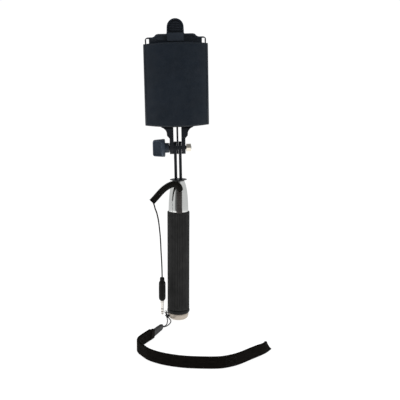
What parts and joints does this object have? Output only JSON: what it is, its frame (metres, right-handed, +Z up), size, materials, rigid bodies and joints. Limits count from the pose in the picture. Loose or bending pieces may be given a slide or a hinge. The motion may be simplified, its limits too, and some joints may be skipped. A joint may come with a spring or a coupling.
{
  "type": "selfie stick",
  "caption": "Telescopic selfie stick: ribbed handle with wrist strap and curly audio lead, nested tubes, tilting clamp hinge and a spring-jaw phone holder.",
  "frame": {"origin": "centre of the end cap's flat base, on the surface that the stick stands on", "axes": "+Z up the handle, +X to the right of the holder's back, +Y towards the phone's side"},
  "size_m": [0.1501, 0.1849, 0.3646],
  "materials": {
    "cap_metal": "satin, warm grey",
    "eyelet_steel": "bright",
    "tube_steel": "drawn",
    "grip_rubber": "matte, ribbed lengthwise",
    "collar_chrome": "polished",
    "button_plastic": "fine texture",
    "switch_plastic": "moulded",
    "board_green": "solder mask",
    "cord_black": "smooth jacket",
    "bush_nylon": "moulded",
    "tube_chrome": "polished, fine drawing lines",
    "bush_brass": "turned",
    "fork_plastic": "satin moulded",
    "screw_steel": "zinc plated",
    "clamp_black": "blackened",
    "knob_plastic": "satin moulded",
    "nut_chrome": "plated",
    "holder_plastic": "blue-black, fine satin sheen",
    "cover_plastic": "fine texture",
    "jaw_plastic": "satin moulded",
    "pad_rubber": "fine ribs",
    "tab_rubber": "matte",
    "spring_steel": "bright wire",
    "boot_rubber": "matte",
    "plug_plastic": "moulded",
    "jack_metal": "nickel plated",
    "strap_cord_nylon": "braided",
    "ferrule_leather": "matte",
    "strap_webbing": "woven"
  },
  "bodies": {
    "handle": {"end_cap": "cap_metal", "strap_eyelet": "eyelet_steel", "handle_tube": "tube_steel", "grip_sleeve": "grip_rubber", "grip_ring": "grip_rubber", "taper_collar": "collar_chrome", "button_bezel": "button_plastic", "tact_switch": "switch_plastic", "switch_board": "board_green", "inner_lead": "cord_black", "fixed_tube": "tube_steel", "base_bush": "bush_nylon", "cable_boot": "boot_rubber", "curly_cord": "cord_black", "cable_tail": "cord_black", "plug_housing": "plug_plastic", "jack_sleeve": "jack_metal", "jack_insulator_1": "plug_plastic", "jack_ring": "jack_metal", "jack_insulator_2": "plug_plastic", "jack_tip": "jack_metal", "strap_cord": "strap_cord_nylon", "strap_ferrule": "ferrule_leather", "wrist_strap": "strap_webbing"},
    "button": {"shutter_button": "button_plastic"},
    "stage_1": {"stage_tube_1": "tube_chrome", "slide_bush_1": "bush_brass"},
    "stage_2": {"stage_tube_2": "tube_chrome", "slide_bush_2": "bush_brass"},
    "stage_3": {"stage_tube_3": "tube_chrome", "slide_bush_3": "bush_brass"},
    "stage_4": {"stage_tube_4": "tube_chrome", "slide_bush_4": "bush_brass"},
    "stage_5": {"stage_tube_5": "tube_chrome", "slide_bush_5": "bush_brass", "head_roll_pin": "screw_steel", "head_fork": "fork_plastic"},
    "holder": {"holder_fork": "fork_plastic", "hex_nut": "nut_chrome", "holder_back": "holder_plastic", "inner_cover": "cover_plastic", "cover_screw_1": "screw_steel", "cover_screw_2": "screw_steel", "cover_screw_3": "screw_steel", "cover_screw_4": "screw_steel", "fork_screw_left": "screw_steel", "fork_screw_right": "screw_steel", "jaw_screw_left": "screw_steel", "jaw_screw_right": "screw_steel", "lower_jaw": "jaw_plastic", "lower_pad": "pad_rubber", "back_pad": "pad_rubber", "jaw_spring_left": "spring_steel", "jaw_spring_right": "spring_steel"},
    "jaw": {"upper_jaw": "jaw_plastic", "tab_grip": "tab_rubber", "upper_pad": "pad_rubber"},
    "washer": {"bolt_washer": "clamp_black"},
    "knob": {"thumb_knob": "knob_plastic", "clamp_bolt": "clamp_black"}
  },
  "joints": [
    {"name": "stage_1_slide", "type": "slide", "parent": "handle", "child": "stage_1", "axis": [0, 0, 1], "range_m": [0, 0.135]},
    {"name": "stage_2_slide", "type": "slide", "parent": "stage_1", "child": "stage_2", "axis": [0, 0, 1], "range_m": [0, 0.13]},
    {"name": "stage_3_slide", "type": "slide", "parent": "stage_2", "child": "stage_3", "axis": [0, 0, 1], "range_m": [0, 0.123]},
    {"name": "stage_4_slide", "type": "slide", "parent": "stage_3", "child": "stage_4", "axis": [0, 0, 1], "range_m": [0, 0.116]},
    {"name": "stage_5_slide", "type": "slide", "parent": "stage_4", "child": "stage_5", "axis": [0, 0, 1], "range_m": [0, 0.11]},
    {"name": "holder_tilt", "type": "hinge", "parent": "stage_5", "child": "holder", "pos_m": [-0.00091, 0, 0.21309], "axis": [0.9998, 0, 0.0209], "range_deg": [-90, 90]},
    {"name": "jaw_slide", "type": "slide", "parent": "holder", "child": "jaw", "axis": [-0.0209, 0, 0.9998], "range_m": [0, 0.025], "stiffness_N_per_m": 150, "springref_m": -0.02, "deforming": ["jaw_spring_left", "jaw_spring_right"]},
    {"name": "knob_travel", "type": "slide", "parent": "holder", "child": "washer", "axis": [-0.9998, 0, -0.0209], "range_m": [0, 0.00125]},
    {"name": "knob_turn", "type": "hinge", "parent": "washer", "child": "knob", "pos_m": [-0.00091, 0, 0.21309], "axis": [-0.9998, 0, -0.0209], "range_deg": [0, 540]},
    {"name": "button_press", "type": "slide", "parent": "handle", "child": "button", "axis": [0, -1, 0], "range_m": [0, 0.0009], "stiffness_N_per_m": 250, "springref_m": -0.002}
  ],
  "couplings": [
    {"joint": "knob_travel", "follows": "knob_turn", "m_per_rad": 0.00012732}
  ]
}
